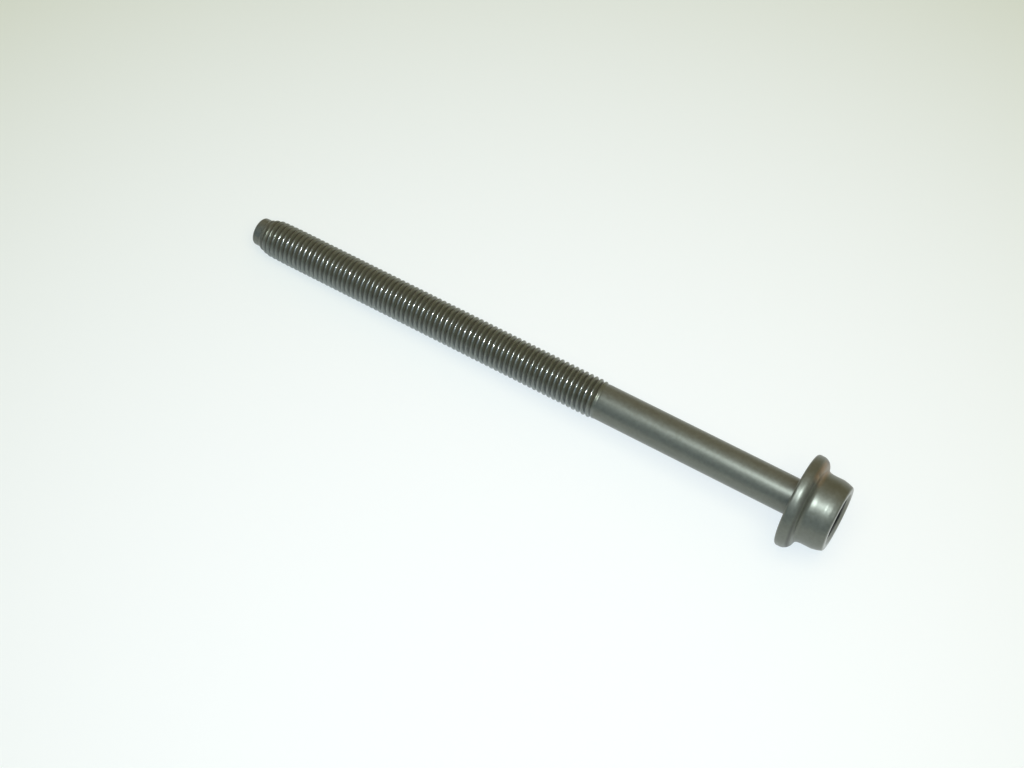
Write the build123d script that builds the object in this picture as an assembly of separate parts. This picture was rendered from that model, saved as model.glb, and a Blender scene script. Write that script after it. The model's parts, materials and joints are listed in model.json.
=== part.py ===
from build123d import *
from math import radians, sin, tan
import os

# Cylinder head bolt, turned and rolled from one steel blank, in millimetres.
# The axis lies along X: the head is towards +X, the point towards -X.
# The origin is the centre of the bearing face, the ring that presses on the cylinder head.

# Thread, given here by the plain envelope over its crests
thread_diameter = 10.9
thread_runout = 1.8

# Plain shank, from the bearing face to the thread's run-out
shank_diameter = 10.03
shank_length = 56.7
neck_round = 0.7

# Point: a pilot that guides the bolt into its hole, a steep lead into the thread,
# then a few low crests that rise slowly to the full thread
under_head_length = 168.5
pilot_diameter = 7.85
pilot_length = 2.75
pilot_edge_round = 0.7
lead_length = 3.1
low_crests_drop = 0.36
low_crests_length = 5.5

# Flange under the head: its ledge slopes up from the rim to the head
flange_diameter = 25.6
flange_rim_thickness = 3.42
flange_ledge_angle = 73.2
flange_bearing_edge_round = 0.95
flange_rim_round = 2.3

# Head: a cylinder with a slight taper near its end
head_diameter = 19.3
head_height = 11.75
head_base_round = 2.1
head_taper_length = 2.25
head_taper_angle = 15.0
head_taper_round = 1.2
head_edge_round = 0.9

# The ledge is shared by the round of the rim and the round at the head's base,
# and the ring round the socket's mouth by its flat and the round of the head's edge
ledge_share_of_rim = 0.52
ledge_share_of_base = 0.475
edge_share_of_end_ring = 0.85

# Hexagon socket with a countersunk mouth and a drilled bottom
socket_across_flats = 10.0
socket_depth = 6.2
socket_mouth_diameter = 14.6
socket_mouth_angle = 140.0
socket_bottom_angle = 118.0
socket_corner_round = 0.35


def radius(diameter):
    return diameter / 2


def round_corner(face, x, r, size):
    """The outline with its corner at axial place x and distance r from the axis rounded."""
    corner = face.vertices().sort_by_distance((x, r, 0))[0]
    return fillet(corner, size)


def half_outline():
    """Half of the bolt's lengthwise section, from the axis outwards."""
    point_end = -under_head_length
    lead_start = point_end + pilot_length
    lead_end = lead_start + lead_length
    thread_end = -shank_length - thread_runout

    ledge_rise = radius(flange_diameter) - radius(head_diameter)
    ledge_top = flange_rim_thickness + ledge_rise / tan(radians(flange_ledge_angle))
    ledge_slant = ledge_rise / sin(radians(flange_ledge_angle))
    longest_round = ledge_slant / tan(radians(flange_ledge_angle / 2))
    rim_round = min(flange_rim_round, longest_round * ledge_share_of_rim)
    base_round = min(head_base_round, longest_round * ledge_share_of_base)

    taper_start = head_height - head_taper_length
    head_end_radius = radius(head_diameter) - head_taper_length * tan(radians(head_taper_angle))
    end_ring_width = head_end_radius - radius(socket_mouth_diameter)
    end_turn = radians(90 - head_taper_angle)
    edge_round = min(head_edge_round, end_ring_width * edge_share_of_end_ring / tan(end_turn / 2))

    outline = Polyline(
        (point_end, 0),
        (point_end, radius(pilot_diameter)),
        (lead_start, radius(pilot_diameter)),
        (lead_end, radius(thread_diameter) - low_crests_drop),
        (lead_end + low_crests_length, radius(thread_diameter)),
        (thread_end, radius(thread_diameter)),
        (-shank_length, radius(shank_diameter)),
        (0, radius(shank_diameter)),
        (0, radius(flange_diameter)),
        (flange_rim_thickness, radius(flange_diameter)),
        (ledge_top, radius(head_diameter)),
        (taper_start, radius(head_diameter)),
        (head_height, head_end_radius),
        (head_height, 0),
        close=True,
    )
    face = make_face(outline)
    face = round_corner(face, point_end, radius(pilot_diameter), pilot_edge_round)
    face = round_corner(face, 0, radius(shank_diameter), neck_round)
    face = round_corner(face, 0, radius(flange_diameter), flange_bearing_edge_round)
    face = round_corner(face, flange_rim_thickness, radius(flange_diameter), rim_round)
    face = round_corner(face, ledge_top, radius(head_diameter), base_round)
    face = round_corner(face, taper_start, radius(head_diameter), head_taper_round)
    return round_corner(face, head_height, head_end_radius, edge_round)


def drive_socket():
    """What the forging punch and its centre leave out of the head, as one solid to cut away."""
    end_face = Plane(origin=(head_height, 0, 0), x_dir=(0, 1, 0), z_dir=(1, 0, 0))
    floor = Plane(origin=(head_height - socket_depth, 0, 0), x_dir=(0, 1, 0), z_dir=(1, 0, 0))

    hexagon = RegularPolygon(radius(socket_across_flats), side_count=6, major_radius=False)
    hexagon = fillet(hexagon.vertices(), socket_corner_round)
    walls = extrude(floor * hexagon, amount=socket_depth)

    # The mouth is a flat cone, as deep as it needs to be to take the hexagon's corners and flats
    mouth_radius = radius(socket_mouth_diameter)
    mouth_depth = mouth_radius / tan(radians(socket_mouth_angle / 2))
    mouth_outline = Polyline(
        (head_height, 0),
        (head_height, mouth_radius),
        (head_height - mouth_depth, 0),
        close=True,
    )
    mouth = revolve(make_face(mouth_outline), Axis.X)

    # The drill that starts the socket leaves a cone, as wide as the hexagon's flats
    drill_radius = radius(socket_across_flats)
    cone_depth = drill_radius / tan(radians(socket_bottom_angle / 2))
    bottom_outline = Polyline(
        (head_height - socket_depth, 0),
        (head_height - socket_depth, drill_radius),
        (head_height - socket_depth - cone_depth, 0),
        close=True,
    )
    bottom = revolve(make_face(bottom_outline), Axis.X)
    return walls + mouth + bottom


# The outline hangs below the axis, so that the seam of the turned faces lies underneath
blank = revolve(Rot(-90, 0, 0) * half_outline(), Axis.X)
head_bolt = blank - drive_socket()

os.makedirs("parts", exist_ok=True)
export_step(head_bolt, "parts/head_bolt.step")
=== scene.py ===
import json
import math
from functools import partial

import bmesh
import bpy
from mathutils import Matrix, Vector


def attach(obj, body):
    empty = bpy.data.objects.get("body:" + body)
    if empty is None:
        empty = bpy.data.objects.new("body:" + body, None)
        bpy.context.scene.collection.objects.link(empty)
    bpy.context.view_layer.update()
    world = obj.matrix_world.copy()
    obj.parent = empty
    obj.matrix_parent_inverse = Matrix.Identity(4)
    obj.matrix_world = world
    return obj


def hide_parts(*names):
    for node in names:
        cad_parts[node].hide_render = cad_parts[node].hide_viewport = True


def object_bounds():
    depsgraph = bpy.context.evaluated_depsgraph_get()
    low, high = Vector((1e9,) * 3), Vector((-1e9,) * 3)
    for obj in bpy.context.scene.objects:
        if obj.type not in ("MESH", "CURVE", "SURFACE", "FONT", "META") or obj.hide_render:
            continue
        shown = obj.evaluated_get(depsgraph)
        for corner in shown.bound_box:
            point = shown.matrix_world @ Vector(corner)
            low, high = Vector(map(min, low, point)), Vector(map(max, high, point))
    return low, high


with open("model.json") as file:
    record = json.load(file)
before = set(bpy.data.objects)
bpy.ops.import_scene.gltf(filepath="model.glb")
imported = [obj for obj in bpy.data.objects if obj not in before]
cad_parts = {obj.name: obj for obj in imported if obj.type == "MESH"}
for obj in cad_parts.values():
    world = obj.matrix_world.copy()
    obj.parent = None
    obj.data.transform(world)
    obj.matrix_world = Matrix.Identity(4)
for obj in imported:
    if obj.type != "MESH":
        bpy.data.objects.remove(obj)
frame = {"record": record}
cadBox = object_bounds()
mm = 0.001

# The bolt's own frame: X along the axis with the head at +X, origin in the middle of the bearing face
mounts = {mount["name"]: mount for mount in frame["record"]["mounts"]}
crestRadius = mounts["thread"]["dims"]["r_mm"]
flangeRadius = cadBox[1].z / mm
pointEnd = cadBox[0].x / mm
headEnd = cadBox[1].x / mm
print("frame loaded: bolt from", round(pointEnd, 2), "to", round(headEnd, 2), "mm")


def addNode(tree, kind, inputs=(), **settings):
    # inputs is a list in socket order or a dictionary by socket name or number
    # they are values, sockets or nodes, and a node gives its first output
    node = tree.nodes.new(kind)
    for setting, value in settings.items():
        setattr(node, setting, value)
    for place, value in inputs.items() if isinstance(inputs, dict) else enumerate(inputs):
        if isinstance(value, bpy.types.Node):
            value = value.outputs[0]
        if isinstance(value, bpy.types.NodeSocket):
            tree.links.new(value, node.inputs[place])
        else:
            node.inputs[place].default_value = value
    return node


def emptyTree(owner):
    owner.use_nodes = True
    owner.node_tree.nodes.clear()
    return owner.node_tree


def addToScene(name, data):
    thing = bpy.data.objects.new(name, data)
    bpy.context.collection.objects.link(thing)
    return thing


# Thread, in mm: a rolled right-hand helix that rises out of the lead cone and fades into the shank
threadShape = {
    "Pitch": 1.5,
    "Crest Radius": crestRadius,
    "Depth": 0.94,
    "Crest Half Width": 0.128,  # of a pitch
    "Root Half Width": 0.05,  # of a pitch
    "Rounding": 0.62,  # of the depth, how soft the rolled crests and roots are
    "Lead Start": pointEnd + 2.4,
    "Lead Radius": 4.025,
    "Lead Length": 3.4,
    "Lead Curve": 0.6,  # below 1 the crests climb fast at first
    "Lead Depth": 0.35,  # depth of the grooves that run into the lead
    "Lead Deepening": 0.4,  # mm of depth for each mm of lead
    "Low Crests Drop": 0.12,  # how far the first crests stay below the full ones
    "Low Crests Length": 5.5,
    "Runout Start": -59.0,
    "Runout End": -56.4,
    "Shank Radius": 5.015,
    "Nick Depth": 0.025,
    "Nick Size": 1.6,
    "Nicks Around": 4.0,  # how closely nicks follow each other round a crest
    "Nick Edge": 0.62,  # of the noise that places them, so that a lower one gives more nicks
    "Nick Bottom": 0.75,
}
threadMesh = {"Segments": 108, "Rows per Pitch": 10}
threadTurn = {
    "crestPlace": -162.61,  # mm along X, where a crest passes the crest angle
    "crestAngle": 116.7,  # degrees round the axis from +Y to +Z
    "pitchesBefore": 1.5,  # at least, how far ahead of the lead the helix begins
    "rowGathering": 0.042,  # of a pitch, how far rows are drawn towards the crests and roots
}
joinDistance = {"coil": 2e-6, "bolt": 3e-6, "sliver": 1e-7}  # m


def threadFirstCrest():
    # axial place of a crest at angle zero, a little before the lead cone
    pitch = threadShape["Pitch"]
    atZero = threadTurn["crestPlace"] - pitch * threadTurn["crestAngle"] / 360
    while atZero > threadShape["Lead Start"] - threadTurn["pitchesBefore"] * pitch:
        atZero -= pitch
    return atZero


def buildThreadTree():
    tree = bpy.data.node_groups.new("rolledThread", "GeometryNodeTree")
    add = partial(addNode, tree)
    face = tree.interface
    face.new_socket("Geometry", in_out="INPUT", socket_type="NodeSocketGeometry")
    for name in list(threadShape) + ["First Crest"]:
        face.new_socket(name, in_out="INPUT", socket_type="NodeSocketFloat")
    for name in list(threadMesh) + ["Pitches"]:
        face.new_socket(name, in_out="INPUT", socket_type="NodeSocketInt")
    face.new_socket("Material", in_out="INPUT", socket_type="NodeSocketMaterial")
    face.new_socket("Geometry", in_out="OUTPUT", socket_type="NodeSocketGeometry")
    given = add("NodeGroupInput").outputs

    # a sheet of one turn by so many pitches, wound into the helix further down
    columns = add("ShaderNodeMath", [given["Segments"], 1], operation="ADD")
    rows = add("ShaderNodeMath", [given["Pitches"], given["Rows per Pitch"]], operation="MULTIPLY")
    rows = add("ShaderNodeMath", [rows, 1], operation="ADD")
    sheet = add("GeometryNodeMeshGrid", [1.0, given["Pitches"], columns, rows])
    flat = add("ShaderNodeSeparateXYZ", [add("GeometryNodeInputPosition")]).outputs
    turn = add("ShaderNodeMath", [flat["X"], 0.5], operation="ADD")
    row = add("ShaderNodeMath", [given["Pitches"], 0.5], operation="MULTIPLY")
    row = add("ShaderNodeMath", [flat["Y"], row], operation="ADD")

    # rows are drawn together at the crests and roots, where the profile bends
    swing = add("ShaderNodeMath", [row, 4 * math.pi], operation="MULTIPLY")
    swing = add("ShaderNodeMath", [swing], operation="SINE")
    swing = add("ShaderNodeMath", [swing, threadTurn["rowGathering"]], operation="MULTIPLY")
    place = add("ShaderNodeMath", [row, swing], operation="SUBTRACT")
    along = add("ShaderNodeMath", [place, turn], operation="ADD")
    along = add("ShaderNodeMath", [along, given["Pitch"], given["First Crest"]], operation="MULTIPLY_ADD")
    along = add("ShaderNodeMath", [along, given["Lead Start"]], operation="MAXIMUM")
    along = add("ShaderNodeMath", [along, given["Runout End"]], operation="MINIMUM")

    # profile across one pitch: straight flanks with rounded crests and roots
    fromCrest = add("ShaderNodeMath", [place, 0.5], operation="PINGPONG")
    rootEdge = add("ShaderNodeMath", [0.5, given["Root Half Width"]], operation="SUBTRACT")
    flankWidth = add("ShaderNodeMath", [rootEdge, given["Crest Half Width"]], operation="SUBTRACT")
    height = add("ShaderNodeMath", [rootEdge, fromCrest], operation="SUBTRACT")
    height = add("ShaderNodeMath", [height, flankWidth], operation="DIVIDE")
    height = add("ShaderNodeMath", [height, 1.0, given["Rounding"]], operation="SMOOTH_MIN")
    height = add("ShaderNodeMath", [height, 0.0, given["Rounding"]], operation="SMOOTH_MAX")

    # small nicks knocked into the crests
    angle = add("ShaderNodeMath", [turn, 2 * math.pi], operation="MULTIPLY")
    sine = add("ShaderNodeMath", [angle], operation="SINE")
    cosine = add("ShaderNodeMath", [angle], operation="COSINE")
    around = add("ShaderNodeCombineXYZ", [
        add("ShaderNodeMath", [along, given["Nick Size"]], operation="DIVIDE"),
        add("ShaderNodeMath", [cosine, given["Nicks Around"]], operation="MULTIPLY"),
        add("ShaderNodeMath", [sine, given["Nicks Around"]], operation="MULTIPLY"),
    ])
    knocks = add("ShaderNodeTexNoise", {"Vector": around, "Scale": 1.0, "Detail": 1.0})
    nick = add("ShaderNodeMapRange", [knocks, given["Nick Edge"], given["Nick Bottom"], 0.0, given["Nick Depth"]])

    # the crests climb out of the lead cone, then rise slowly to their full height
    inLead = add("ShaderNodeMath", [along, given["Lead Start"]], operation="SUBTRACT")
    leadShare = add("ShaderNodeMath", [inLead, given["Lead Length"]], operation="DIVIDE")
    leadShare = add("ShaderNodeMath", [leadShare, 1.0], operation="MINIMUM")
    climb = add("ShaderNodeMath", [given["Crest Radius"], given["Low Crests Drop"]], operation="SUBTRACT")
    climb = add("ShaderNodeMath", [climb, given["Lead Radius"]], operation="SUBTRACT")
    steep = add("ShaderNodeMath", [leadShare, given["Lead Curve"]], operation="POWER")
    steep = add("ShaderNodeMath", [steep, climb], operation="MULTIPLY")
    pastLead = add("ShaderNodeMath", [inLead, given["Lead Length"]], operation="SUBTRACT")
    slow = add("ShaderNodeMapRange", [pastLead, 0.0, given["Low Crests Length"], 0.0, given["Low Crests Drop"]])
    crest = add("ShaderNodeMath", [given["Lead Radius"], steep], operation="ADD")
    crest = add("ShaderNodeMath", [crest, slow], operation="ADD")

    # the roots lie the full depth down, and in the lead at least a growing groove's depth below the crests
    root = add("ShaderNodeMath", [given["Crest Radius"], given["Depth"]], operation="SUBTRACT")
    leadDepth = add("ShaderNodeMath", [inLead, given["Lead Deepening"]], operation="MULTIPLY")
    leadDepth = add("ShaderNodeMath", [leadDepth, given["Lead Depth"]], operation="MINIMUM")
    depth = add("ShaderNodeMath", [crest, root], operation="SUBTRACT")
    depth = add("ShaderNodeMath", [depth, leadDepth], operation="MAXIMUM")
    drop = add("ShaderNodeMath", [1.0, height], operation="SUBTRACT")
    drop = add("ShaderNodeMath", [depth, drop], operation="MULTIPLY")
    radius = add("ShaderNodeMath", [crest, drop], operation="SUBTRACT")

    # no nicks in the roots or where the lead begins
    nick = add("ShaderNodeMath", [nick, height], operation="MULTIPLY")
    nick = add("ShaderNodeMath", [nick, leadShare], operation="MULTIPLY")
    radius = add("ShaderNodeMath", [radius, nick], operation="SUBTRACT")

    # the run-out flattens the profile onto the shank
    fade = [along, given["Runout Start"], given["Runout End"], 1.0, 0.0]
    fade = add("ShaderNodeMapRange", fade, interpolation_type="SMOOTHSTEP")
    radius = add("ShaderNodeMath", [radius, given["Shank Radius"]], operation="SUBTRACT")
    radius = add("ShaderNodeMath", [radius, fade, given["Shank Radius"]], operation="MULTIPLY_ADD")

    wound = add("ShaderNodeCombineXYZ", [
        along,
        add("ShaderNodeMath", [radius, cosine], operation="MULTIPLY"),
        add("ShaderNodeMath", [radius, sine], operation="MULTIPLY"),
    ])
    wound = add("ShaderNodeVectorMath", {"Vector": wound, "Scale": mm}, operation="SCALE")
    coil = add("GeometryNodeSetPosition", {"Geometry": sheet, "Position": wound})
    coil = add("GeometryNodeMergeByDistance", {"Geometry": coil, "Distance": joinDistance["coil"]})
    coil = add("GeometryNodeRealizeInstances", [coil])
    coil = add("GeometryNodeSetMaterial", {"Geometry": coil, "Material": given["Material"]})
    add("NodeGroupOutput", [coil])
    return tree


def makeThread(material):
    tree = buildThreadTree()
    carrier = addToScene("threadCarrier", bpy.data.meshes.new("threadCarrier"))
    modifier = carrier.modifiers.new("thread", "NODES")
    modifier.node_group = tree
    firstCrest = threadFirstCrest()
    reach = threadShape["Runout End"] - firstCrest
    values = {
        **threadShape, **threadMesh, "Material": material,
        "First Crest": firstCrest,
        "Pitches": math.ceil(reach / threadShape["Pitch"]) + 1,
    }
    for item in tree.interface.items_tree:
        if item.in_out == "INPUT" and item.name in values:
            modifier[item.identifier] = values[item.name]
    carrier.update_tag()
    depsgraph = bpy.context.evaluated_depsgraph_get()
    mesh = bpy.data.meshes.new_from_object(carrier.evaluated_get(depsgraph))
    bpy.data.objects.remove(carrier)
    print("thread wound:", len(mesh.polygons), "faces")
    return mesh


# Hexagon socket, in mm and degrees
socketShape = {
    "acrossFlats": 10.0,
    "depth": 6.2,
    "mouthRadius": 7.3,
    "mouthAngle": 140.0,
    "bottomAngle": 118.0,
    "cornerRound": 0.35,
}
# Rings down each stretch of the socket, as shares of it, with a close one beside each edge
socketRows = {"mouth": (0.06, 0.5, 0.97, 1.0), "walls": (0.03, 0.5, 0.97, 1.0), "bottom": (0.0, 0.05, 0.5, 0.9)}

# Corners of the turned outline, as (place along X, distance from the axis, rounding), in mm
leadRadius, shankRadius = threadShape["Lead Radius"], threadShape["Shank Radius"]
pointCorners = [
    (pointEnd, 0.0, 0.0),
    (pointEnd, leadRadius, 0.7),  # the pilot's edge
    (threadShape["Lead Start"], leadRadius, 0.0),
]
headCorners = [
    (threadShape["Runout End"], shankRadius, 0.0),
    (0.0, shankRadius, 0.7),  # the neck
    (0.0, flangeRadius, 0.75),  # the bearing face's edge
    (3.42, flangeRadius, 2.6),  # the rim's other edge
    (4.305, 9.87, 1.25),  # where the ledge meets the head
    (5.9, 9.65, 6.0),  # a slight flare at the base of the head
    (8.8, 9.65, 2.2),  # the head draws in towards its end, more and more
    (10.2, 9.37, 4.0),
    (headEnd, 8.85, 0.7),  # the head's edge
    (headEnd, socketShape["mouthRadius"], 0.0),
]
outlineDetail = {
    "degreesPerStep": 6.0,
    "leastSteps": 3,  # in one arc
    "holdingGap": 0.12,  # mm
    "holdingRoom": 0.36,  # mm, the shortest straight stretch that gets holding rings
    "longestStep": 6.0,  # mm
    "axisGap": 0.01,  # mm, what lies nearer to the axis is left to the pole
}


def roundedOutline(corners):
    # swaps each corner for an arc, with a holding ring beside it where there is room, so that flats shade flat
    places = [Vector(corner[:2]) for corner in corners]
    reaches = [0.0] * len(corners)
    for i in range(1, len(corners) - 1):
        if corners[i][2]:
            halfAngle = (places[i - 1] - places[i]).angle(places[i + 1] - places[i]) / 2
            reaches[i] = corners[i][2] / math.tan(halfAngle)
    points = []
    for i, (here, reach) in enumerate(zip(places, reaches)):
        if reach == 0:
            points.append(here)
            continue
        before, after = (places[i - 1] - here).normalized(), (places[i + 1] - here).normalized()
        centre = here + (before + after).normalized() * math.hypot(reach, corners[i][2])
        start = here + before * reach - centre
        sweep = start.angle_signed(here + after * reach - centre)
        steps = round(abs(math.degrees(sweep)) / outlineDetail["degreesPerStep"])
        steps = max(outlineDetail["leastSteps"], steps)
        arc = [centre + Matrix.Rotation(-sweep * step / steps, 2) @ start for step in range(steps + 1)]
        rings = []
        for side, other in ((before, i - 1), (after, i + 1)):
            room = (places[other] - here).length - reach - reaches[other]
            hasRoom = room > outlineDetail["holdingRoom"]
            rings.append([here + side * (reach + outlineDetail["holdingGap"])] if hasRoom else [])
        points += rings[0] + arc + rings[1]
    return points


def splitLongSteps(points):
    # long straight stretches get more rings, so that no face is a sliver
    rings = [points[0]]
    for point in points[1:]:
        gap = (point - rings[-1]).length
        pieces = math.ceil(gap / outlineDetail["longestStep"])
        start = rings[-1]
        rings += [start.lerp(point, piece / pieces) for piece in range(1, pieces + 1)]
    return rings


def hexagonRadius(angle):
    # distance from the axis to the socket's wall: straight flats with rounded corners, corners on the Y axis
    flat = socketShape["acrossFlats"] / 2
    rounding = socketShape["cornerRound"]
    halfSide = math.pi / 6
    fromCorner = (angle + halfSide) % (2 * halfSide) - halfSide
    cornerCentre = (flat - rounding) / math.cos(halfSide)
    tangent = math.atan2(rounding / 2, cornerCentre + rounding * math.cos(halfSide))
    if abs(fromCorner) < tangent:
        offset = cornerCentre * math.sin(fromCorner)
        return cornerCentre * math.cos(fromCorner) + math.sqrt(rounding ** 2 - offset ** 2)
    return flat / math.cos(halfSide - abs(fromCorner))


def socketRings(angles):
    # rings from the mouth's rim down to the drilled bottom, each a list of (x, r) by angle
    mouth = socketShape["mouthRadius"]
    flat = socketShape["acrossFlats"] / 2
    slope = 1 / math.tan(math.radians(socketShape["mouthAngle"] / 2))
    floor = headEnd - socketShape["depth"]
    tip = floor - flat / math.tan(math.radians(socketShape["bottomAngle"] / 2))
    walls = [hexagonRadius(angle) for angle in angles]
    edge = [(headEnd - (mouth - wall) * slope, wall) for wall in walls]
    rings = []
    for share in socketRows["mouth"]:
        rings.append([(headEnd + (x - headEnd) * share, mouth + (r - mouth) * share) for x, r in edge])
    for share in socketRows["walls"]:
        rings.append([(x + (floor - x) * share, r) for x, r in edge])
    for share in socketRows["bottom"]:
        rings.append([(floor + (tip - floor) * share, flat * (1 - share))] * len(angles))
    return rings, tip


def addRing(build, points, angles):
    return [
        build.verts.new((x * mm, r * math.cos(angle) * mm, r * math.sin(angle) * mm))
        for (x, r), angle in zip(points, angles)
    ]


def joinRings(build, lower, upper):
    count = len(lower)
    for i in range(count):
        j = (i + 1) % count
        build.faces.new((lower[i], lower[j], upper[j], upper[i]))


def closeWithPole(build, ring, x):
    pole = build.verts.new((x * mm, 0, 0))
    for i in range(len(ring)):
        build.faces.new((ring[i], ring[(i + 1) % len(ring)], pole))


def makeTurnedParts(build):
    # everything but the thread: the point below it, the shank, flange, head and socket above it
    count = threadMesh["Segments"]
    angles = [2 * math.pi * i / count for i in range(count)]
    for corners, isHead in ((pointCorners, False), (headCorners, True)):
        outline = splitLongSteps(roundedOutline(corners))
        outline = [p for p in outline if p.y > outlineDetail["axisGap"]]
        rings = [addRing(build, [tuple(p)] * count, angles) for p in outline]
        if isHead:
            inside, tip = socketRings(angles)
            rings += [addRing(build, points, angles) for points in inside]
            closeWithPole(build, rings[-1], tip)
        else:
            inner = addRing(build, [(pointEnd, outline[0].y / 2)] * count, angles)
            rings.insert(0, inner)
            closeWithPole(build, inner, pointEnd)
        for lower, upper in zip(rings, rings[1:]):
            joinRings(build, lower, upper)


sharpFrom = 48.0  # degrees, edges that turn by more than this aren't shaded smooth


def makeBolt(material):
    build = bmesh.new()
    build.from_mesh(makeThread(material))
    makeTurnedParts(build)
    bmesh.ops.remove_doubles(build, verts=build.verts, dist=joinDistance["bolt"])
    bmesh.ops.dissolve_degenerate(build, edges=build.edges, dist=joinDistance["sliver"])
    bmesh.ops.recalc_face_normals(build, faces=build.faces)
    openEdges = sum(not edge.is_manifold for edge in build.edges)
    mesh = bpy.data.meshes.new("headBolt")
    build.to_mesh(mesh)
    build.free()
    mesh.shade_smooth()
    mesh.set_sharp_from_angle(angle=math.radians(sharpFrom))
    mesh.materials.clear()
    mesh.materials.append(material)
    triangles = sum(len(face.vertices) - 2 for face in mesh.polygons)
    print("bolt built:", triangles, "triangles,", openEdges, "open edges")
    return addToScene("headBolt", mesh)


def colour(code):
    # sRGB hex to the linear numbers that nodes take
    parts = [int(code[i:i + 2], 16) / 255 for i in (1, 3, 5)]
    return [p / 12.92 if p <= 0.04045 else ((p + 0.055) / 1.055) ** 2.4 for p in parts] + [1.0]


# Manganese phosphated and oiled alloy steel
phosphate = {
    "dark": "#606257",
    "light": "#6a6c62",
    "groove": "#48412f",
    # painted highlight: bright metal on the crests towards the flash, with a little rubbing on the others
    "rubbedAndHighlit": "#b4b8b2",
    "pressed": "#7d8079",
    # an oily stain and painted shade, dark olive, over the back of the head and flange
    "stainAndShade": "#50503c",
    # painted warm light: an olive tint, in patches, on the back side of the thread
    "threadWarmLight": "#5a5b3c",
    # painted floor reflection: a pale cool tint on the front side, where the lit floor shows in the surface
    "paintedFloorReflection": "#8d9496",
    "rust": "#947756",
    # painted shade, nearly black, in the corner by the flange and down in the socket
    "paintedShade": "#1f201c",
    "metallic": 0.6,
    "roughness": (0.39, 0.44),  # on the dark patches and on the light ones
    "threadRoughness": 0.33,  # rolling leaves the thread smoother than the shank
    "rubbedRoughness": 0.21,
    "pressedRoughness": 0.28,
    "grooveRoughness": 0.8,
    "oilFilm": 0.3,
    "oilRoughness": 0.35,
    "highlitSide": 113.5,  # degrees round the axis from +Y to +Z, towards the flash, where the crests' highlight is painted
    # the front side, towards the floor, where the floor reflection is painted
    "floorReflectionSide": 205.0,
    "mottleSize": 0.9,  # mm, size of the patches in the coating
    "grainSize": 0.16,  # mm, coarser than the real crystals so that it shows
    "stainSize": 2.2,  # mm, size of the patches in the stains
    "bumpStrength": (0.2, 0.03),  # on the coat and on the rubbed crests
    "bumpHeight": 0.02,  # mm
}

# Where each finish or painted light begins and where it is full: in mm along X first, then along Y, then from the
# axis, then as the cosine of the angle from the highlit side or the floor reflection side, and last as a level of
# its noise
finishPlaces = {
    "threadTop": (-56.6, -57.6),
    "threadBottom": (pointEnd + 2.8, pointEnd + 4.0),
    "cornerLow": (2.7, 3.1),
    "cornerHigh": (3.9, 3.4),
    "socketLow": (2.0, 2.2),
    "socketHigh": (headEnd - 0.45, headEnd - 0.65),
    "stainAndShadeLow": (-0.5, 1.5),
    "rustLow": (2.5, 3.2),
    "rustHigh": (5.4, 4.4),
    "endRing": (headEnd - 0.3, headEnd - 0.1),
    "stainAndShadeBehind": (0.0, 4.0),
    "rustBehind": (0.0, 2.0),
    "rustUpTo": (11.5, 8.0),
    "crest": (crestRadius - 0.17, crestRadius - 0.04),
    "groove": (crestRadius - 0.45, crestRadius - 0.85),
    "cornerRim": (12.6, 12.0),
    "socketWall": (6.0, 5.8),
    "endRingEdge": (6.9, 7.3),
    "rubbedAndHighlit": (0.95, 0.995),
    "threadWarmLight": (0.7, 0.0),
    "paintedFloorReflection": (0.45, 1.0),
    "mottle": (0.3, 0.7),
    "wear": (0.3, 0.55),
    "stains": (0.3, 0.6),
}
# How much of each finish or painted light there is: one share, or its least and its most
finishShares = {
    "threadWarmLight": 0.35,
    "groove": 0.8,
    "paintedFloorReflection": (0.14, 0.56),  # off the thread and on it
    "rubbedAndHighlit": (0.03, 1.0),  # on the far side and on the highlit side, where the highlight is painted
    "wear": (0.75, 1.0),
    "stainAndShade": 0.65,
    "stains": (0.6, 1.0),
    "rust": 0.6,
    "corner": 0.45,
}


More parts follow.
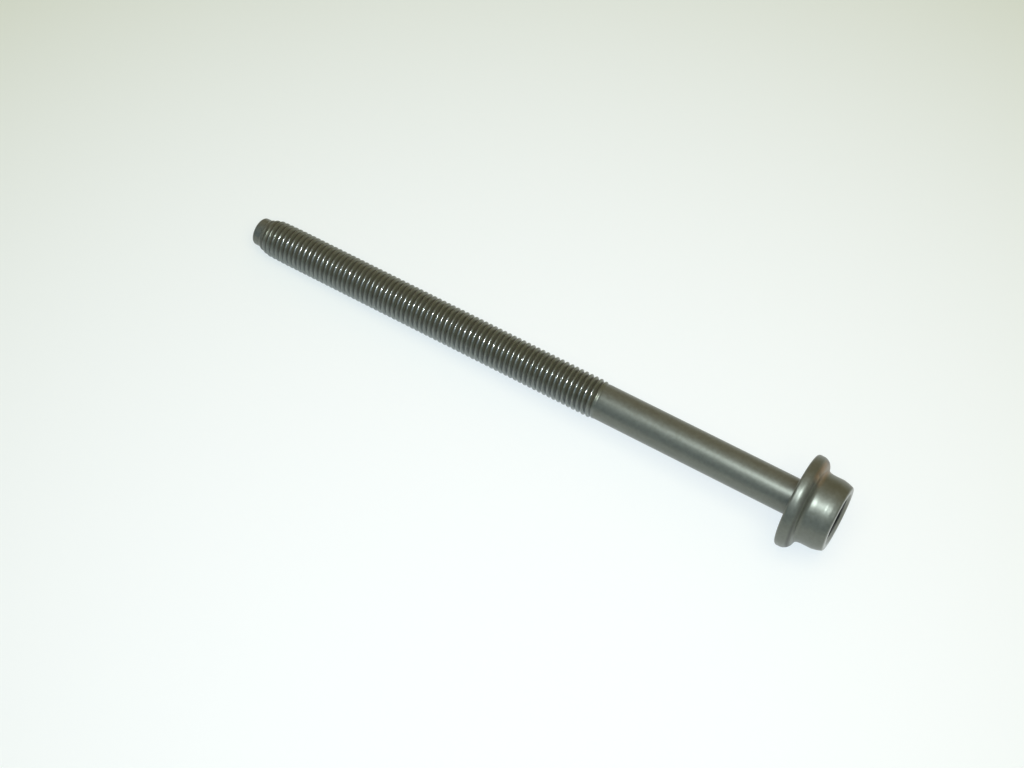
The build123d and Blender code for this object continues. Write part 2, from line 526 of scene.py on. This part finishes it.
def makePhosphatedSteel():
    # a dark, faintly mottled coat with a satin oil sheen, a painted highlight along the thread's crests towards the
    # flash with faint rubbing on the rest, painted shade in the corner, the socket and over the back, a painted
    # floor reflection on the front, and painted warm light on the back of the thread
    material = bpy.data.materials.new("phosphatedSteel")
    tree = emptyTree(material)
    add = partial(addNode, tree)

    def mask(limits, *others):
        # full where every value is past its place and where the other masks are full
        factors = [add("ShaderNodeMapRange", [value, *finishPlaces[place]]) for place, value in limits.items()]
        product, *rest = factors + list(others)
        for factor in rest:
            product = add("ShaderNodeMath", [product, factor], operation="MULTIPLY")
        return product

    def facing(side):
        # 1 on that side of the bolt, 0 a quarter turn away from it
        angle = math.radians(phosphate[side])
        acrossY = add("ShaderNodeMath", [y, math.cos(angle)], operation="MULTIPLY")
        acrossZ = add("ShaderNodeMath", [z, math.sin(angle)], operation="MULTIPLY")
        towards = add("ShaderNodeMath", [acrossY, acrossZ], operation="ADD")
        return add("ShaderNodeMath", [towards, fromAxis], operation="DIVIDE")

    place = add("ShaderNodeTexCoord").outputs["Object"]
    inMm = add("ShaderNodeVectorMath", {"Vector": place, "Scale": 1 / mm}, operation="SCALE")
    x, y, z = add("ShaderNodeSeparateXYZ", [inMm]).outputs
    squares = [add("ShaderNodeMath", [side, side], operation="MULTIPLY") for side in (y, z)]
    fromAxis = add("ShaderNodeMath", [add("ShaderNodeMath", squares, operation="ADD")], operation="SQRT")
    mottle, grain, patches = [
        add("ShaderNodeTexNoise", {"Vector": inMm, "Scale": 1 / phosphate[size], "Detail": detail})
        for size, detail in (("mottleSize", 3.0), ("grainSize", 2.0), ("stainSize", 2.0))
    ]
    stains = add("ShaderNodeMapRange", [patches, *finishPlaces["stains"], *finishShares["stains"]])

    # the threaded length only, with its grooves, and its crests, which carry a painted highlight along the side
    # towards the flash and only a little rubbing elsewhere
    onThread = mask({"threadTop": x, "threadBottom": x})
    rubbedAndHighlit = add("ShaderNodeMapRange", [facing("highlitSide"), *finishPlaces["rubbedAndHighlit"], *finishShares["rubbedAndHighlit"]])
    crest = mask({"crest": fromAxis}, onThread, rubbedAndHighlit)
    groove = mask({"groove": fromAxis}, onThread)
    wear = add("ShaderNodeMapRange", [mottle, *finishPlaces["wear"], *finishShares["wear"]])

    # an oily stain and painted shade over the back of the head and flange, brown with rust where they meet
    stainAndShade = mask({"stainAndShadeLow": x, "stainAndShadeBehind": y}, stains)
    rust = mask({"rustLow": x, "rustHigh": x, "rustBehind": y, "rustUpTo": y}, stains)

    # painted shade in the corner between flange and head, where there is no rust, and down in the socket
    cornerShare = finishShares["corner"]
    clear = add("ShaderNodeMath", [rust, -cornerShare, cornerShare], operation="MULTIPLY_ADD")
    corner = mask({"cornerLow": x, "cornerHigh": x, "cornerRim": fromAxis}, clear)
    socket = mask({"socketWall": fromAxis, "socketLow": x, "socketHigh": x})
    paintedShade = add("ShaderNodeMath", [corner, socket], operation="MAXIMUM")

    # a painted floor reflection, pale and cool, on the front side, and painted warm light, olive and in patches, on
    # the back side of the thread
    towardsFloorReflection = facing("floorReflectionSide")
    threadWarmLight = mask({"threadWarmLight": towardsFloorReflection}, onThread, stains)
    paintedFloorReflection = mask({"paintedFloorReflection": towardsFloorReflection}, add("ShaderNodeMapRange", [onThread, 0.0, 1.0, *finishShares["paintedFloorReflection"]]))

    # the flat ring round the socket's mouth, pressed smooth by the forging die
    endRing = mask({"endRing": x, "endRingEdge": fromAxis})

    # one layer over another, each with where it lies, how much of it there is, and its colour
    mottled = add("ShaderNodeMapRange", [mottle, *finishPlaces["mottle"]])
    layers = [
        (mottled, 1.0, "light"),
        (threadWarmLight, finishShares["threadWarmLight"], "threadWarmLight"),
        (groove, finishShares["groove"], "groove"),
        (paintedFloorReflection, 1.0, "paintedFloorReflection"),
        (crest, wear, "rubbedAndHighlit"),
        (endRing, 1.0, "pressed"),
        (stainAndShade, finishShares["stainAndShade"], "stainAndShade"),
        (rust, finishShares["rust"], "rust"),
        (paintedShade, 1.0, "paintedShade"),
    ]
    coat = colour(phosphate["dark"])
    for where, share, name in layers:
        # sockets 0, 6 and 7 of a colour mix are its factor and its two colours, and output 2 is its colour
        share = add("ShaderNodeMath", [where, share], operation="MULTIPLY")
        coat = add("ShaderNodeMix", {0: share, 6: coat, 7: colour(phosphate[name])}, data_type="RGBA").outputs[2]

    roughness = add("ShaderNodeMapRange", [mottle, *finishPlaces["mottle"], *phosphate["roughness"]])
    for share, goal in ((onThread, "threadRoughness"), (groove, "grooveRoughness"), (crest, "rubbedRoughness"),
                        (paintedShade, "grooveRoughness"), (endRing, "pressedRoughness")):
        change = add("ShaderNodeMath", [phosphate[goal], roughness], operation="SUBTRACT")
        roughness = add("ShaderNodeMath", [share, change, roughness], operation="MULTIPLY_ADD")
    bare = 1.0 - phosphate["metallic"]
    metallic = add("ShaderNodeMath", [crest, bare, phosphate["metallic"]], operation="MULTIPLY_ADD")
    strength = add("ShaderNodeMapRange", [crest, 0.0, 1.0, *phosphate["bumpStrength"]])
    bump = {"Strength": strength, "Distance": phosphate["bumpHeight"] * mm, "Height": grain}
    shader = add("ShaderNodeBsdfPrincipled", {
        "Base Color": coat, "Metallic": metallic, "Roughness": roughness, "Normal": add("ShaderNodeBump", bump),
        "Coat Weight": phosphate["oilFilm"], "Coat Roughness": phosphate["oilRoughness"],
    })
    add("ShaderNodeOutputMaterial", [shader])
    return material


steel = makePhosphatedSteel()
bolt = makeBolt(steel)
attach(bolt, "root")
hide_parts("head_bolt")

# Floor: a pale sheet that touches the flange's rim and the thread's crests near the point, with places in mm
floorShape = {
    "size": 6.0,  # m
    # nearColour and farColour make a painted pool of light, bright in the middle and dimmer and warmer towards the
    # corners
    "nearColour": "#fbfffe",  # at the bright place, in the middle of the picture's lower edge
    "farColour": "#d6d9c6",  # at the reach away from it, and on from there
    "poolOfLightCentre": (-28.0, -94.0, -11.4),
    "reach": 292.0,  # mm
    "falloff": 2.0,  # above 1 the colour changes slowly near the bright place
    "glowTint": "#ebf4ff",  # the two tints make up for each other, and the shade keeps the first
    "litTint": "#ffe4b8",
    "glowShare": 0.78,  # how much of its colour is its own where it is seen, so that shadows stay light
    "glowStrength": 1.15,
    "rimPlace": 1.3,
    "crestPlace": -156.0,
}


def makePaleSheet():
    material = bpy.data.materials.new("paleSheet")
    tree = emptyTree(material)
    add = partial(addNode, tree)

    # a painted pool of light: the sheet grows duller and warmer away from its bright place
    place = add("ShaderNodeTexCoord").outputs["Object"]
    bright = Vector(floorShape["poolOfLightCentre"]) * mm
    away = add("ShaderNodeVectorMath", [place, bright], operation="DISTANCE").outputs["Value"]
    away = add("ShaderNodeMath", [away, floorShape["reach"] * mm], operation="DIVIDE")
    dull = add("ShaderNodeMath", [away, floorShape["falloff"]], operation="POWER")
    tint = {0: dull, 6: colour(floorShape["nearColour"]), 7: colour(floorShape["farColour"])}
    tint = add("ShaderNodeMix", tint, data_type="RGBA").outputs[2]

    # the glow shows in the picture and in reflections only
    path = add("ShaderNodeLightPath").outputs
    seen = add("ShaderNodeMath", [path["Is Camera Ray"], path["Is Glossy Ray"]], operation="MAXIMUM")
    seen = add("ShaderNodeMath", [seen, path["Is Transmission Ray"]], operation="MAXIMUM")
    litTint = {0: seen, 6: colour("#ffffff"), 7: colour(floorShape["litTint"])}
    litTint = {0: 1.0, 6: tint, 7: add("ShaderNodeMix", litTint, data_type="RGBA").outputs[2]}
    litTint = add("ShaderNodeMix", litTint, data_type="RGBA", blend_type="MULTIPLY").outputs[2]
    glowTint = {0: 1.0, 6: tint, 7: colour(floorShape["glowTint"])}
    glowTint = add("ShaderNodeMix", glowTint, data_type="RGBA", blend_type="MULTIPLY").outputs[2]
    lit = add("ShaderNodeBsdfDiffuse", {"Color": litTint})
    glow = add("ShaderNodeEmission", {"Color": glowTint, "Strength": floorShape["glowStrength"]})
    share = add("ShaderNodeMath", [seen, floorShape["glowShare"]], operation="MULTIPLY")
    sheet = add("ShaderNodeMixShader", [share, lit, glow])
    add("ShaderNodeOutputMaterial", [sheet])
    return material


def makeFloor():
    rim = Vector((floorShape["rimPlace"], 0, -flangeRadius)) * mm
    crest = Vector((floorShape["crestPlace"], 0, -crestRadius)) * mm
    along = (rim - crest).normalized()
    across = Vector((0, 1, 0))
    half = floorShape["size"] / 2
    mesh = bpy.data.meshes.new("floor")
    corners = [rim + along * half * a + across * half * b for a, b in ((-1, -1), (1, -1), (1, 1), (-1, 1))]
    mesh.from_pydata(corners, [], [(0, 1, 2, 3)])
    mesh.materials.append(makePaleSheet())
    floor = addToScene("floor", mesh)


# Lights: place as (degrees round the axis from +Y to +Z, mm along X, mm from the axis), size in m, power in W
# The flash is split in two: a small lamp for the sheen, and a wide one for the body of the light
lights = {
    "flashSheen": {"place": (103.5, 45.0, 435.0), "size": 0.035, "power": 2.0, "tint": "#ecf8ff", "gives": "sheen"},
    "flashBody": {"place": (103.5, 45.0, 435.0), "size": 0.4, "power": 2.25, "tint": "#f8fffc", "gives": "body"},
    "backWindow": {"place": (50.0, -60.0, 1000.0), "size": 0.8, "power": 1.1, "tint": "#ffc060", "gives": "body"},
}
lampsAim = (-50.0, 0.0, 0.0)  # mm
worldLight = {
    "back": "#e8d4a5",  # warm
    "front": "#bcdcfc",  # cool
    "turnover": 0.7,  # the tint changes while the Y of a direction is between minus and plus this
    "strength": 0.44,
}


def makeLights():
    for name, lamp in lights.items():
        around, shift, distance = lamp["place"]
        around = math.radians(around)
        place = Vector((shift, distance * math.cos(around), distance * math.sin(around))) * mm
        data = bpy.data.lights.new(name, "AREA")
        data.shape = "DISK"
        data.size = lamp["size"]
        data.energy = lamp["power"]
        data.color = colour(lamp["tint"])[:3]
        light = addToScene(name, data)
        light.location = place
        light.rotation_euler = (Vector(lampsAim) * mm - place).to_track_quat("-Z", "Y").to_euler()
        light.visible_diffuse = lamp["gives"] != "sheen"  # so the small lamp casts no hard shadow
        light.visible_glossy = lamp["gives"] != "body"


def makeWorld():
    world = bpy.data.worlds.new("studio")
    tree = emptyTree(world)
    add = partial(addNode, tree)
    place = add("ShaderNodeTexCoord").outputs["Generated"]
    y = add("ShaderNodeSeparateXYZ", [place]).outputs["Y"]
    back = add("ShaderNodeMapRange", [y, -worldLight["turnover"], worldLight["turnover"]])
    tint = {0: back, 6: colour(worldLight["front"]), 7: colour(worldLight["back"])}
    tint = add("ShaderNodeMix", tint, data_type="RGBA").outputs[2]
    background = add("ShaderNodeBackground", [tint, worldLight["strength"]])
    add("ShaderNodeOutputWorld", [background])
    bpy.context.scene.world = world


# Camera: the photograph's view, fitted to the bolt's outline and the thread's spacing, in mm
photoView = {
    "place": (50.42, -193.81, 385.87),
    "looks": (-0.29185, 0.41616, -0.86118),
    "up": (-0.43162, 0.74618, 0.50686),
    "focalPixels": 1680.0,
    "imageWidth": 1024,
    "sensorWidth": 36.0,
    "nearest": 10.0,
    "farthest": 20000.0,
}


def makeCamera():
    data = bpy.data.cameras.new("photoCamera")
    data.sensor_width = photoView["sensorWidth"]
    data.lens = photoView["focalPixels"] / photoView["imageWidth"] * data.sensor_width
    data.clip_start = photoView["nearest"] * mm
    data.clip_end = photoView["farthest"] * mm
    looks = Vector(photoView["looks"]).normalized()
    side = looks.cross(Vector(photoView["up"])).normalized()
    turned = Matrix((side, side.cross(looks), -looks)).transposed().to_4x4()
    camera = addToScene("photoCamera", data)
    camera.matrix_world = Matrix.Translation(Vector(photoView["place"]) * mm) @ turned
    bpy.context.scene.camera = camera


makeFloor()
makeLights()
makeWorld()
makeCamera()
bpy.context.scene.view_settings.view_transform = "Standard"
print("stage, lights and camera set")
